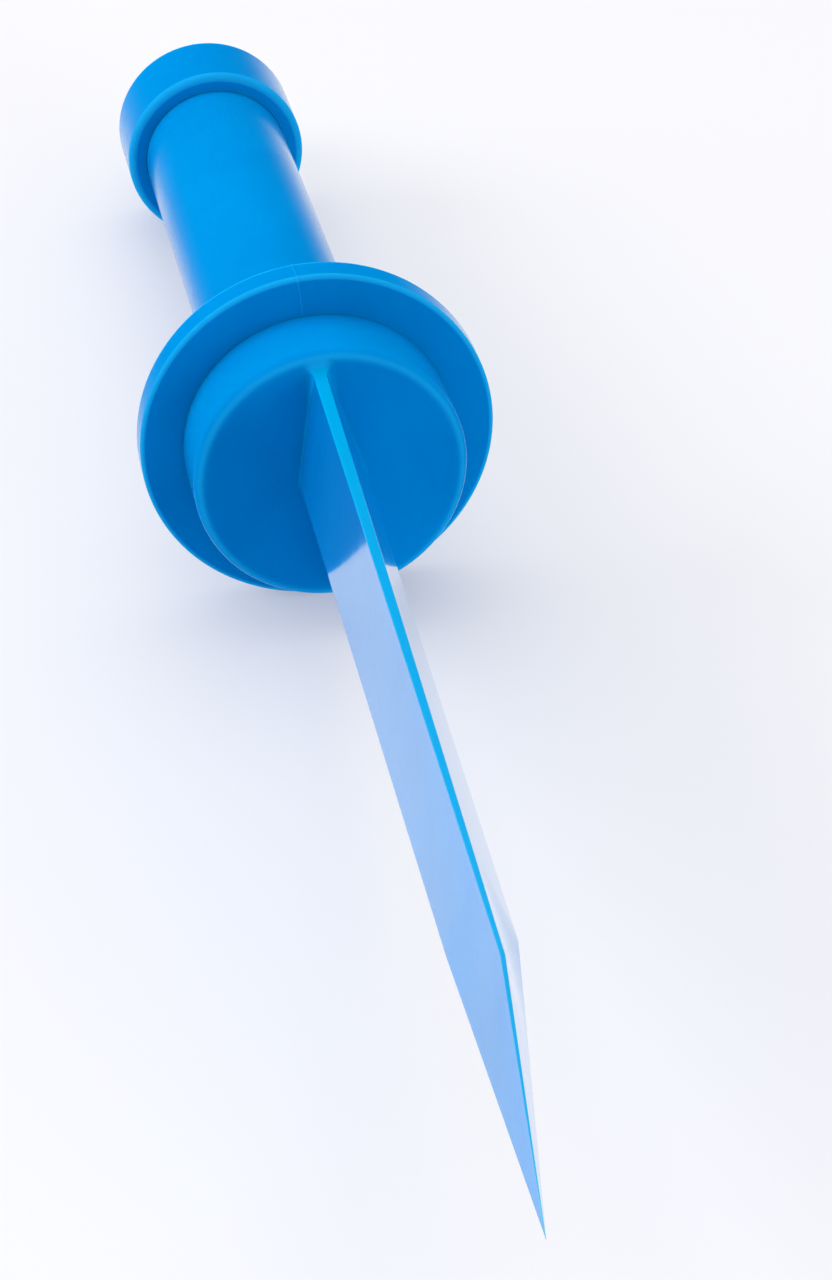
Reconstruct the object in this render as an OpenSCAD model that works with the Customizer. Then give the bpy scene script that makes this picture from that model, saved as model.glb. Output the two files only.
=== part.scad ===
// Stake drip emitter: an adjustable, pressure-compensating emitter on a ground stake.
// The z axis runs through the whole part. z = 0 is the underside of the soil flange, the
// blade points down and the tube spigot points up. x is across the blade's tall direction.

/* [Stem and flange] */
// Radius of the flange that stops on the soil
flange_r = 12; // [11.5:0.1:14]
// Thickness of the flange
flange_t = 2.4; // [2.2:0.1:3.4]
// Radius of the rounded edges of the flange
flange_edge = 0.45; // [0.2:0.05:0.6]
// Outside radius of the hollow stem
stem_r = 5.5; // [5.4:0.05:5.8]
// Radius of the hollow corner between the flange and the stem
stem_fillet = 1.6; // [0.8:0.1:2]
// Height of the cap's lower rim above the soil
cap_rim_z = 47.3; // [47.3:0.1:56]

/* [Drum and blade] */
// Radius of the drum under the flange
drum_r = 9.15; // [8.6:0.05:9.6]
// Depth of the drum below the flange
drum_depth = 5.55; // [4.5:0.05:7]
// Radius of the drum's rounded lower edge
drum_edge = 0.8; // [0.4:0.05:1]
// Depth of the blade's tip below the soil
tip_depth = 81.4; // [78:0.1:92]
// Depth at which the side ridges turn in towards the tip
ridge_turn_depth = 58.2; // [50:0.1:62]
// Depth at which the flat top and bottom edges turn in towards the tip
edge_turn_depth = 66.7; // [63:0.1:70]
// Half of the blade's height where it leaves the drum
root_half_height = 7.9; // [6.5:0.1:8]
// Half of the blade's height where its edges turn in
turn_half_height = 6; // [5:0.1:7]
// Half of the blade's width over its ridges, where it leaves the drum
root_half_width = 2.25; // [1.8:0.05:2.6]
// Half of the blade's width over its ridges, where they turn in
turn_half_width = 2; // [1.4:0.05:2.2]
// Half of the width of the flat edges where the blade leaves the drum
root_edge_half = 0.45; // [0.35:0.05:0.6]
// Half of the width of the flat edges where they turn in
turn_edge_half = 0.12; // [0.1:0.01:0.3]
// Lean of the blade to one side of the stem's axis, in degrees
blade_lean = 1.2; // [0:0.1:2]
// Distance of the tip to the same side of the blade's own middle
tip_offset = 1.3; // [0:0.1:1.5]

/* [Adjusting cap] */
// Outside radius of the cap
cap_r = 6.85; // [6.75:0.05:7.6]
// Height of the cap
cap_h = 7.1; // [7.1:0.1:9]
// Radius of the cap's rounded edges
cap_edge = 0.55; // [0.3:0.05:0.8]
// Thickness of the cap's roof
cap_roof = 1.4; // [1.2:0.1:1.6]
// Rise of the cap for each full turn
thread_pitch = 1; // [0.8:0.1:1]

/* [Tube spigot] */
// Radius over the barbs, for micro-tube of 4 mm bore
barb_r = 2.45; // [2.3:0.05:2.5]
// Radius between the barbs
barb_root_r = 2.05; // [1.9:0.05:2.1]
// Radius of the water way through the spigot
inlet_bore_r = 1.25; // [1:0.05:1.3]
// Number of barbs
barb_count = 2; // [1:1:2]
// Distance from one barb to the next
barb_step = 3.6; // [3.2:0.1:3.8]

/* [Clearances] */
// Radial gap between pieces that move on each other
running_gap = 0.05; // [0.03:0.01:0.08]
// Radial gap between pieces that only seat in each other
static_gap = 0.02; // [0.01:0.01:0.03]

/* [Hidden] */
$fn = 96;
fillet_facets = 40;
eps = 0.5; // how far a cutting shape runs past the face it cuts

body_blue = "#0690e6";
cap_blue = "#0a94ea";

// Bores of the stem, from the soil upwards
bore_r = 4;
upper_bore_r = 3.55;
ledge_bore_r = 3;
ledge_t = 0.8;
ledge_to_rim = 8.9;             // from the ledge's underside up to the cap's rim
ledge_z = cap_rim_z - ledge_to_rim;
upper_floor_z = ledge_z + ledge_t;

// Drum seat, plug and outlet
drum_seat_depth = 0.4;
drum_seat_gap = 0.05;
drum_seat_edge = 0.1;
plug_top_z = 8;
plug_r = bore_r - static_gap;
plug_groove_z = 4.9;
seal_h = 1.5;
seal_groove_h = 1.6;
seal_depth = 0.9;
seal_corner = 0.35;
outlet_r = 0.8;
outlet_z = 9.1;

// Neck of the stem and the cap's thread, drawn as plain cylinders
cap_top_z = cap_rim_z + cap_h;
roof_z = cap_top_z - cap_roof;
neck_r = 4.7;
neck_end_gap = 0.3;
neck_top_z = roof_z - neck_end_gap;
thread_gap = 0.1;
skirt_h = 1.8;                  // depth of the plain skirt that hides the stem's shoulder
skirt_end_gap = 0.2;
neck_shoulder_z = cap_rim_z + skirt_h;
cap_step_z = neck_shoulder_z + skirt_end_gap;
cap_skirt_bore_r = stem_r + running_gap;
cap_mouth_chamfer = 0.35;

// Inlet barb
piston_r = upper_bore_r - running_gap;
piston_reach = 2.7;             // how far the piston hangs below the cap's rim
piston_bottom_z = cap_rim_z - piston_reach;
washer_t = 0.5;
washer_play = 0.04;
piston_top_z = roof_z - washer_t - 2 * washer_play;
journal_step = 0.2;
journal_r = barb_r + journal_step;
roof_hole_r = journal_r + running_gap;
clip_t = 0.45;
clip_play = 0.05;
clip_groove_z = cap_top_z + clip_play;
clip_groove_h = clip_t + 2 * clip_play;
clip_groove_r = 2;
clip_r = 3.4;
clip_gap_angle = 60;
spigot_z = clip_groove_z + clip_groove_h;
barb_start = 1.2;
barb_land = 0.6;
barb_cone = 1.9;
barb_top_z = spigot_z + barb_start + (barb_count - 1) * barb_step + barb_land + barb_cone;
barb_groove_rise = 3.5;
barb_groove_z = piston_bottom_z + barb_groove_rise;

// Metering needle and its seat
needle_r = 1.9;
needle_tip_r = 0.25;
needle_cone_h = 2.4;
needle_neck_h = 1.8;
needle_collar_h = 0.8;
needle_collar_r = 3;
needle_socket_depth = 2;
needle_port_r = 0.6;
needle_collar_z = piston_bottom_z - needle_collar_h;
needle_neck_z = needle_collar_z - needle_neck_h;
needle_tip_z = needle_neck_z - needle_cone_h;
needle_slope = (needle_r - needle_tip_r) / needle_cone_h;
seat_h = 2;
seat_orifice_r = 1;
seat_gap = 0.05;                // gap along the axis between needle and seat when shut
seat_top_z = upper_floor_z + seat_h;
seat_cone_z = needle_tip_z + (seat_orifice_r - needle_tip_r) / needle_slope - seat_gap;
seat_mouth_r = seat_orifice_r + (seat_top_z - seat_cone_z) * needle_slope;
seat_ring_h = 0.9;
seat_ring_bore_r = 2.4;

// Pressure regulator, from the plug upwards
window_w = 2;
window_h = 2;
regulator_leg_r = 3.2;
regulator_plate_z = plug_top_z + 2.8;
regulator_plate_t = 1.8;
regulator_top_z = regulator_plate_z + regulator_plate_t;
regulator_orifice_r = 0.45;
lip_in_r = 0.9;
lip_out_r = 1.5;
lip_h = 0.5;
lip_floor_t = 0.1;
bleed_w = 0.35;
bleed_depth = 0.2;
chamber_r = 3.4;
chamber_h = 2;
chamber_top_z = regulator_top_z + chamber_h;
nub_h = 0.3;
nub_r = 0.35;
nub_place_r = 2.1;
diaphragm_r = 3.2;
diaphragm_t = 0.9;
diaphragm_play = 0.02;
diaphragm_top_z = chamber_top_z - nub_h - diaphragm_play;

// Labyrinth: rings of channel, each crossed by teeth
labyrinth_h = 10.4;
labyrinth_top_z = chamber_top_z + labyrinth_h;
channel_count = 4;
channel_h = 1.4;
channel_step = 2.2;
channel_depth = 0.8;
channel_wall = 1.4;             // from the float chamber's roof to the first channel
channel_first_z = chamber_top_z + channel_wall;
channel_last_top_z = channel_first_z + (channel_count - 1) * channel_step + channel_h;
tooth_count = 12;
tooth_w = 0.5;
tooth_reach = 0.8;
link_w = 1.3;
link_bite = 0.1;                // how far a link runs into the channels it joins
insert_r = bore_r - static_gap;

// Filter, between the labyrinth and the ledge
gasket_t = 0.6;
cage_top_z = ledge_z - gasket_t;
cage_ring_t = 1;
cage_foot_h = 1.2;
cage_floor_z = labyrinth_top_z + cage_foot_h;
cage_floor_t = 1;
cage_in_r = 2.4;
cage_out_r = 2.85;
cage_floor_r = 3.1;
cage_rib_w = 0.8;
cage_rib_bite = 0.1;            // how far a rib runs into the ring and the floor
cage_rib_out_r = 2.8;
cage_rib_count = 4;
cage_hoop_count = 3;
cage_hoop_h = 0.6;
cage_foot_count = 3;
screen_t = 0.18;
screen_z = cage_floor_z + cage_floor_t;
screen_h = cage_top_z - cage_ring_t - screen_z;

// Solid disc from z = 0 to h with a rounded lower and upper edge
module rounded_disc(r, h, low, high) {
    rotate_extrude() {
        translate([0, low]) square([r, h - low - high]);
        square([r - low, h - high]);
        translate([r - low, low]) circle(low);
        translate([0, low]) square([r - high, h - low]);
        translate([r - high, h - high]) circle(high);
    }
}

// Ring between two radii and two heights
module ring(r_in, r_out, z, h) {
    translate([0, 0, z]) difference() {
        cylinder(r = r_out, h = h);
        translate([0, 0, -eps]) cylinder(r = r_in, h = h + 2 * eps);
    }
}

// Rubber ring with rounded corners, squeezed between two radii
module rubber_ring(r_in, r_out, z, h, corner) {
    w = r_out - r_in;
    rotate_extrude() translate([r_in, z]) {
        translate([corner, 0]) square([w - 2 * corner, h]);
        translate([0, corner]) square([w, h - 2 * corner]);
        for (x = [corner, w - corner], y = [corner, h - corner])
            translate([x, y]) circle(corner);
    }
}

// Box that runs outwards from the axis, centred on its own width
module radial_box(r_from, r_to, w, z, h) {
    translate([r_from, -w / 2, z]) cube([r_to - r_from, w, h]);
}

// Round stop that fills the hollow corner between the flange and the stem
module stem_root() {
    rotate_extrude() difference() {
        translate([0, flange_t / 2])
            square([stem_r + stem_fillet, flange_t / 2 + stem_fillet]);
        translate([stem_r + stem_fillet, flange_t + stem_fillet])
            circle(stem_fillet, $fn = fillet_facets);
    }
}

// Hollow stem with the soil flange, the drum seat, the threaded neck and the water outlet
module stem_body() {
    color(body_blue) difference() {
        union() {
            rounded_disc(flange_r, flange_t, flange_edge, flange_edge);
            stem_root();
            cylinder(r = stem_r, h = neck_shoulder_z);
            cylinder(r = neck_r, h = neck_top_z);
        }
        translate([0, 0, -eps]) cylinder(r = bore_r, h = ledge_z + eps);
        cylinder(r = ledge_bore_r, h = neck_top_z);
        translate([0, 0, upper_floor_z]) cylinder(r = upper_bore_r, h = neck_top_z);
        translate([0, 0, -eps])
            cylinder(r = drum_r + drum_seat_gap, h = drum_seat_depth + eps);
        translate([0, 0, outlet_z]) rotate([0, -90, 0]) cylinder(r = outlet_r, h = flange_r);
    }
}

// Sideways place of the blade's middle at a depth
function lean_at(depth) = -tan(blade_lean) * (depth - drum_depth);

// Point of the blade's skin: x across its height, y across its width
function skin(x, y, depth) = [x, y + lean_at(depth), -depth];

// Six corners of the blade's section: two flat edges and a ridge on each side
function blade_section(half_height, edge_half, edge_depth, half_width, ridge_depth) = [
    skin(half_height, edge_half, edge_depth),
    skin(0, half_width, ridge_depth),
    skin(-half_height, edge_half, edge_depth),
    skin(-half_height, -edge_half, edge_depth),
    skin(0, -half_width, ridge_depth),
    skin(half_height, -edge_half, edge_depth)
];

// Blade of the stake, from inside the drum to the tip
module blade() {
    corners = 6;
    root_depth = drum_depth - drum_edge;
    root = blade_section(root_half_height, root_edge_half, root_depth,
                         root_half_width, root_depth);
    turn = blade_section(turn_half_height, turn_edge_half, edge_turn_depth,
                         turn_half_width, ridge_turn_depth);
    polyhedron(
        points = concat(root, turn, [skin(0, -tip_offset, tip_depth)]),
        faces = concat(
            [[for (i = [0:corners - 1]) corners - 1 - i]],
            [for (i = [0:corners - 1]) [i, (i + 1) % corners, corners + (i + 1) % corners]],
            [for (i = [0:corners - 1]) [i, corners + (i + 1) % corners, corners + i]],
            [for (i = [0:corners - 1])
                [corners + i, corners + (i + 1) % corners, 2 * corners]]
        )
    );
}

// Drum, blade and the plug that closes the stem from below, in one piece
module stake() {
    color(body_blue) union() {
        translate([0, 0, -drum_depth])
            rounded_disc(drum_r, drum_depth + drum_seat_depth, drum_edge, drum_seat_edge);
        difference() {
            cylinder(r = plug_r, h = plug_top_z);
            ring(bore_r - seal_depth, bore_r + eps, plug_groove_z, seal_groove_h);
        }
        blade();
    }
}

// Rubber ring that seals the plug in the stem
module plug_seal() {
    color("dimgray")
        rubber_ring(bore_r - seal_depth + static_gap, bore_r - static_gap,
                    plug_groove_z + (seal_groove_h - seal_h) / 2, seal_h, seal_corner);
}

// Cap at the head of the stem; turning it lifts the needle from its seat
module adjust_cap() {
    color(cap_blue) difference() {
        translate([0, 0, cap_rim_z]) rounded_disc(cap_r, cap_h, cap_edge, cap_edge);
        translate([0, 0, cap_rim_z - eps])
            cylinder(r = cap_skirt_bore_r, h = cap_step_z - cap_rim_z + eps);
        translate([0, 0, cap_rim_z - static_gap])
            cylinder(r1 = cap_skirt_bore_r + cap_mouth_chamfer, r2 = cap_skirt_bore_r,
                     h = cap_mouth_chamfer);
        translate([0, 0, cap_rim_z])
            cylinder(r = neck_r + thread_gap, h = roof_z - cap_rim_z);
        translate([0, 0, roof_z - eps]) cylinder(r = roof_hole_r, h = cap_roof + 2 * eps);
    }
}

// Outline of the barbed spigot, as [radius, height] points from its foot to its mouth
function barb_outline() = concat(
    [[0, spigot_z], [journal_r, spigot_z], [barb_root_r, spigot_z + barb_start / 2]],
    [for (i = [0:barb_count - 1], p = [
        [barb_root_r, 0], [barb_r, 0], [barb_r, barb_land],
        [barb_root_r, barb_land + barb_cone]
    ]) [p[0], spigot_z + barb_start + i * barb_step + p[1]]],
    [[0, barb_top_z]]
);

// Tube spigot on a piston that swivels in the cap and slides in the stem
module inlet_barb() {
    color(body_blue) difference() {
        union() {
            translate([0, 0, piston_bottom_z])
                cylinder(r = piston_r, h = piston_top_z - piston_bottom_z);
            translate([0, 0, piston_top_z - eps])
                cylinder(r = journal_r, h = spigot_z - piston_top_z + eps);
            rotate_extrude() polygon(barb_outline());
        }
        ring(upper_bore_r - seal_depth, upper_bore_r + eps, barb_groove_z, seal_groove_h);
        ring(clip_groove_r, journal_r + eps, clip_groove_z, clip_groove_h);
        translate([0, 0, piston_bottom_z - eps])
            cylinder(r = inlet_bore_r, h = barb_top_z - piston_bottom_z + 2 * eps);
        translate([0, 0, piston_bottom_z - eps])
            cylinder(r = needle_r + static_gap, h = needle_socket_depth + eps);
    }
}

// Open spring clip that keeps the spigot in the cap's roof
module swivel_clip() {
    color("gainsboro") difference() {
        ring(clip_groove_r + static_gap, clip_r, clip_groove_z + clip_play, clip_t);
        rotate([0, 0, -clip_gap_angle / 2])
            translate([0, 0, clip_groove_z]) linear_extrude(clip_groove_h)
                polygon([[0, 0], [2 * clip_r, 0],
                         [2 * clip_r * cos(clip_gap_angle), 2 * clip_r * sin(clip_gap_angle)]]);
    }
}

// Slippery washer between the piston and the cap's roof
module thrust_washer() {
    color("ivory") ring(journal_r + running_gap, piston_r - running_gap,
                        piston_top_z + washer_play, washer_t);
}

// Rubber ring that seals the piston in the stem
module barb_seal() {
    color("dimgray")
        rubber_ring(upper_bore_r - seal_depth + static_gap, upper_bore_r - static_gap,
                    barb_groove_z + (seal_groove_h - seal_h) / 2, seal_h, seal_corner);
}

// Hollow needle under the piston: water leaves its side ports above the cone
module metering_needle() {
    color("white") difference() {
        union() {
            translate([0, 0, needle_tip_z])
                cylinder(r1 = needle_tip_r, r2 = needle_r, h = needle_cone_h);
            translate([0, 0, needle_neck_z])
                cylinder(r = needle_r, h = piston_bottom_z + needle_socket_depth - needle_neck_z
                                           - static_gap);
            translate([0, 0, needle_collar_z])
                cylinder(r = needle_collar_r, h = needle_collar_h - static_gap);
        }
        translate([0, 0, needle_neck_z + needle_port_r / 2])
            cylinder(r = inlet_bore_r, h = cap_h);
        for (a = [0, 90])
            translate([0, 0, needle_neck_z + needle_neck_h / 2]) rotate([90, 0, a])
                cylinder(r = needle_port_r, h = 2 * needle_collar_r, center = true);
    }
}

// Soft seat that the needle shuts on
module needle_seat() {
    color("darkslategray") difference() {
        translate([0, 0, upper_floor_z])
            cylinder(r = upper_bore_r - static_gap, h = seat_h);
        translate([0, 0, upper_floor_z - eps])
            cylinder(r = seat_orifice_r, h = seat_h + 2 * eps);
        translate([0, 0, seat_cone_z])
            cylinder(r1 = seat_orifice_r, r2 = seat_mouth_r, h = seat_top_z - seat_cone_z);
    }
}

// Ring pressed in above the seat to hold it on the ledge
module seat_ring() {
    color("white")
        ring(seat_ring_bore_r, upper_bore_r - static_gap, seat_top_z, seat_ring_h);
}

// Flat ring that keeps water from passing round the filter
module filter_gasket() {
    color("dimgray") ring(cage_in_r, insert_r, cage_top_z, gasket_t);
}

// Cage that carries the filter screen and stands on the labyrinth
module filter_cage() {
    color("#303438") union() {
        ring(cage_in_r, insert_r, cage_top_z - cage_ring_t, cage_ring_t);
        translate([0, 0, cage_floor_z]) cylinder(r = cage_floor_r, h = cage_floor_t);
        for (i = [0:cage_rib_count - 1]) rotate([0, 0, (i + 0.5) * 360 / cage_rib_count])
            radial_box(cage_in_r, cage_rib_out_r, cage_rib_w, screen_z - cage_rib_bite,
                       screen_h + 2 * cage_rib_bite);
        for (i = [1:cage_hoop_count])
            ring(cage_in_r, cage_out_r,
                 screen_z + i * screen_h / (cage_hoop_count + 1) - cage_hoop_h / 2, cage_hoop_h);
        intersection() {
            cylinder(r = insert_r, h = cage_top_z);
            for (i = [0:cage_foot_count - 1]) rotate([0, 0, i * 360 / cage_foot_count])
                radial_box(cage_in_r, bore_r, cage_rib_w, labyrinth_top_z,
                           cage_floor_z + cage_floor_t - labyrinth_top_z);
        }
    }
}

// Fine screen, drawn as a thin sleeve round the cage
module filter_screen() {
    color("lightsteelblue")
        ring(cage_out_r + static_gap, cage_out_r + static_gap + screen_t,
             screen_z + static_gap, screen_h - 2 * static_gap);
}

// One ring of the labyrinth's channel with its teeth left standing, to be cut away
module channel_cut(z) {
    difference() {
        ring(insert_r - channel_depth, insert_r + eps, z, channel_h);
        for (i = [0:tooth_count - 1]) rotate([0, 0, (i + 0.5) * 360 / tooth_count])
            radial_box(insert_r - 2 * channel_depth, insert_r + 2 * eps, tooth_w,
                       i % 2 == 0 ? z - eps : z + channel_h - tooth_reach,
                       tooth_reach + eps);
    }
}

// Groove up the side of the labyrinth that links one channel to the next
module link_cut(angle, z_from, z_to) {
    rotate([0, 0, angle])
        radial_box(insert_r - channel_depth, insert_r + eps, link_w, z_from, z_to - z_from);
}

// Insert whose toothed channels burn off the line's pressure; its skirt is the float chamber
module labyrinth_core() {
    color("#e8ecef") union() {
        difference() {
            translate([0, 0, regulator_top_z])
                cylinder(r = insert_r, h = labyrinth_top_z - regulator_top_z);
            translate([0, 0, regulator_top_z - eps]) cylinder(r = chamber_r, h = chamber_h + eps);
            for (i = [0:channel_count - 1]) channel_cut(channel_first_z + i * channel_step);
            for (i = [1:channel_count - 1])
                link_cut(i * 180, channel_first_z + i * channel_step - link_bite
                                      - (channel_step - channel_h),
                         channel_first_z + i * channel_step + link_bite);
            link_cut(channel_count * 180, channel_last_top_z - link_bite,
                     labyrinth_top_z + eps);
            link_cut(0, chamber_top_z - eps, channel_first_z + link_bite);
        }
        for (a = [60, 180, 300]) rotate([0, 0, a])
            translate([nub_place_r, 0, chamber_top_z - nub_h]) cylinder(r = nub_r, h = 2 * nub_h);
    }
}

// Silicone disc that floats over the lip and closes on it as the pressure rises
module diaphragm() {
    color("orangered") translate([0, 0, diaphragm_top_z - diaphragm_t])
        cylinder(r = diaphragm_r, h = diaphragm_t);
}

// Plate with the raised lip and bleed slot under the diaphragm, on a legged skirt
module regulator_seat() {
    color("#e8ecef") difference() {
        union() {
            translate([0, 0, plug_top_z]) cylinder(r = insert_r, h = regulator_top_z - plug_top_z);
            translate([0, 0, regulator_top_z]) cylinder(r = lip_out_r, h = lip_h);
        }
        translate([0, 0, regulator_top_z + lip_floor_t]) cylinder(r = lip_in_r, h = lip_h);
        translate([0, 0, regulator_plate_z - eps])
            cylinder(r = regulator_orifice_r, h = regulator_plate_t + lip_h + 2 * eps);
        radial_box(0, lip_out_r + eps, bleed_w, regulator_top_z + lip_h - bleed_depth, eps);
        translate([0, 0, plug_top_z - eps])
            cylinder(r = regulator_leg_r, h = regulator_plate_z - plug_top_z + eps);
        for (a = [0:90:270]) rotate([0, 0, a])
            radial_box(0, bore_r + eps, window_w, plug_top_z - eps, window_h + eps);
    }
}

stem_body();
stake();
plug_seal();
adjust_cap();
inlet_barb();
swivel_clip();
thrust_washer();
barb_seal();
metering_needle();
needle_seat();
seat_ring();
filter_gasket();
filter_cage();
filter_screen();
labyrinth_core();
diaphragm();
regulator_seat();
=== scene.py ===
"""Looks of the stake drip emitter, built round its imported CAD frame.

The frame is the CAD's, in metres: the z axis runs up the stem, z = 0 is the underside of the
soil flange, the blade points down, and x is across the blade's tall direction.
"""

import math

import bmesh
import bpy
from mathutils import Matrix, Vector


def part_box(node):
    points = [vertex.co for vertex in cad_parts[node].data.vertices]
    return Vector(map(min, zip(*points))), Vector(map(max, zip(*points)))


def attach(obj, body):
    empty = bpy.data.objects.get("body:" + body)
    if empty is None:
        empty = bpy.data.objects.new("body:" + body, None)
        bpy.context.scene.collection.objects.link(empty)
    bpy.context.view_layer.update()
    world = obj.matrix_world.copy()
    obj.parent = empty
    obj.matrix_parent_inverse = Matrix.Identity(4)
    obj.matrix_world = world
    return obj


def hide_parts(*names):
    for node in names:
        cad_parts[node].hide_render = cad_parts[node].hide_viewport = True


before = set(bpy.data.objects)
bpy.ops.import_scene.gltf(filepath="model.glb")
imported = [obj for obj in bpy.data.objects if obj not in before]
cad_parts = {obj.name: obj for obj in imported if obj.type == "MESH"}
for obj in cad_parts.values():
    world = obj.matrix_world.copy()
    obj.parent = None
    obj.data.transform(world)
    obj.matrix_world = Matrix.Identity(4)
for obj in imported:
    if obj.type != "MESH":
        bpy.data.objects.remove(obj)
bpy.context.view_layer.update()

MM = 0.001

# ---- sizes, in mm ---------------------------------------------------------------------

# They are the CAD model's, apart from the few with a comment beside them.


def box_mm(node):
    low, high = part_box(node)
    return low / MM, high / MM


STEM_HIGH = box_mm("stem_body")[1]
STAKE_LOW, STAKE_HIGH = box_mm("stake")
CAP_LOW, CAP_HIGH = box_mm("adjust_cap")
BARB_LOW, BARB_HIGH = box_mm("inlet_barb")

FLANGE_R = STEM_HIGH.x
FLANGE_T = 2.4
FLANGE_EDGE = 0.45
FLANGE_FRONT_EDGE = 0.28  # sharper, which keeps its highlight thin
STEM_R = 5.5
STEM_FILLET = 1.6
BORE_R = 4.0
UPPER_BORE_R = 3.55
LEDGE_BORE_R = 3.0
LEDGE_Z = 38.4
LEDGE_TOP_Z = 39.2
NECK_R = 4.7
NECK_Z = 49.1
NECK_TOP_Z = STEM_HIGH.z
RECESS_R = 9.15  # tight round the drum, so the joint doesn't show as a black line
RECESS_DEPTH = 0.4
OUTLET_R = 0.8
OUTLET_Z = 9.1

DRUM_R = 9.15
DRUM_FACE_Z = -5.55
DRUM_EDGE = 0.8
FACE_R = DRUM_R - DRUM_EDGE
PLUG_R = 3.98
PLUG_TOP_Z = STAKE_HIGH.z
PLUG_GROOVE_R = 3.1
PLUG_GROOVE = (4.9, 6.5)

TIP_DEPTH = -STAKE_LOW.z
RIDGE_TURN_DEPTH = 58.2
EDGE_TURN_DEPTH = 66.7
ROOT_DEPTH = 4.75
ROOT_HALF_HEIGHT = 7.9
TURN_HALF_HEIGHT = 6.0
ROOT_HALF_WIDTH = 2.25
TURN_HALF_WIDTH = 2.0
ROOT_EDGE_HALF = 0.42  # a little narrower
TURN_EDGE_HALF = 0.11  # a little narrower
BLADE_LEAN = math.tan(math.radians(1.2))
TIP_OFFSET = 1.3

CAP_R = CAP_HIGH.x
CAP_RIM_Z = CAP_LOW.z
CAP_TOP_Z = CAP_HIGH.z
CAP_EDGE = 0.55
CAP_STEP_Z = 49.3
CAP_ROOF_Z = 53.0
CAP_SKIRT_R = 5.52  # tight round the stem, for the same reason as the recess
CAP_BORE_R = 4.8
CAP_HOLE_R = 2.7

PISTON_R = 3.5
PISTON_LOW_Z = BARB_LOW.z
PISTON_TOP_Z = 52.42
SEAL_GROOVE_R = 2.65
SEAL_GROOVE = (48.1, 49.7)
JOURNAL_R = 2.65
CLIP_GROOVE = (54.45, 55.0)
CLIP_GROOVE_R = 2.0
BARB_R = 2.45
BARB_ROOT_R = 2.05
BARB_STARTS = (56.2, 59.8)
BARB_LAND = 0.6
BARB_CONE = 1.9
BARB_TOP_Z = BARB_HIGH.z
WATER_WAY_R = 1.25
NEEDLE_SOCKET_R = 1.92
NEEDLE_SOCKET_DEPTH = 2.0


# ---- mesh tools -----------------------------------------------------------------------

ARC_STEP = math.radians(9)
SHARP_ANGLE = math.radians(32)
ON_AXIS = 1e-6


def lerp(a, b, t):
    return a + (b - a) * t


def rounded(corners):
    """Polyline through (x, y, radius) corners, each rounded by its radius."""
    points = []
    count = len(corners)
    for i, (x, y, radius) in enumerate(corners):
        here = Vector((x, y))
        if radius <= 0:
            points.append(here)
            continue
        before = Vector(corners[i - 1][:2])
        after = Vector(corners[(i + 1) % count][:2])
        to_before = (before - here).normalized()
        to_after = (after - here).normalized()
        half = to_before.angle(to_after) / 2
        cut = radius / math.tan(half)
        start = here + to_before * cut
        centre = here + (to_before + to_after).normalized() * (radius / math.sin(half))
        sweep = math.pi - 2 * half
        turn = 1 if to_before.x * to_after.y - to_before.y * to_after.x < 0 else -1
        parts = max(2, round(sweep / ARC_STEP))
        arm = start - centre
        for k in range(parts + 1):
            a = turn * sweep * k / parts
            c, s = math.cos(a), math.sin(a)
            points.append(centre + Vector((arm.x * c - arm.y * s, arm.x * s + arm.y * c)))
    return points


def shade_smooth(mesh):
    mesh.polygons.foreach_set("use_smooth", [True] * len(mesh.polygons))
    mesh.set_sharp_from_angle(angle=SHARP_ANGLE)


def new_object(name, bm):
    bmesh.ops.recalc_face_normals(bm, faces=bm.faces)
    mesh = bpy.data.meshes.new(name)
    bm.to_mesh(mesh)
    bm.free()
    shade_smooth(mesh)
    mesh.update()
    obj = bpy.data.objects.new(name, mesh)
    bpy.context.scene.collection.objects.link(obj)
    return obj


# where vertices stand across a mould seam, the seam's half width, and how proud it stands
SEAM_OFFSETS = (-0.16, -0.11, -0.07, -0.035, 0.0, 0.035, 0.07, 0.11, 0.16)
SEAM_HALF = 0.11
FLANGE_SEAM = 0.06
CAP_SEAM = 0.012


def ring_angles(radius, segments, seam):
    """Angles of a ring's vertices, packed closely round the two mould seams at +x and -x."""
    if not seam:
        return [(2 * math.pi * k / segments, 0.0) for k in range(segments)]
    angles = []
    reach = SEAM_OFFSETS[-1] / radius
    plain = segments // 2 - len(SEAM_OFFSETS)
    for side in (0, math.pi):
        for s in SEAM_OFFSETS:
            bump = math.cos(min(abs(s) / SEAM_HALF, 1) * math.pi / 2) ** 2
            angles.append((side + s / radius, bump))
        for k in range(plain):
            share = (k + 1) / (plain + 1)
            angles.append((side + lerp(reach, math.pi - reach, share), 0.0))
    return angles


# The vertex attribute that marks where the blue is painted lighter, a painted highlight: keen
# edges, the rim line, the flange seam and the blade's top edge. An outline's turn at a point
# counts as fully keen from FULLY_KEEN up, and not at all where it is a plain corner.
KEEN = "painted_highlight_mask"
FULLY_KEEN = math.radians(7)
CORNER_TURN = math.radians(40)
KEEN_FADE = 0.06
LONG_STRETCH = 5 * KEEN_FADE


def keenness(before, here, after):
    """How sharply a counter-clockwise outline turns outwards at a point, from 0 to 1."""
    a = Vector((here[0] - before[0], here[1] - before[1]))
    b = Vector((after[0] - here[0], after[1] - here[1]))
    if not a.length or not b.length:
        return 0.0
    turn = math.atan2(a.x * b.y - a.y * b.x, a.dot(b))
    return 0.0 if turn > CORNER_TURN else min(1.0, max(0.0, turn / FULLY_KEEN))


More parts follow.
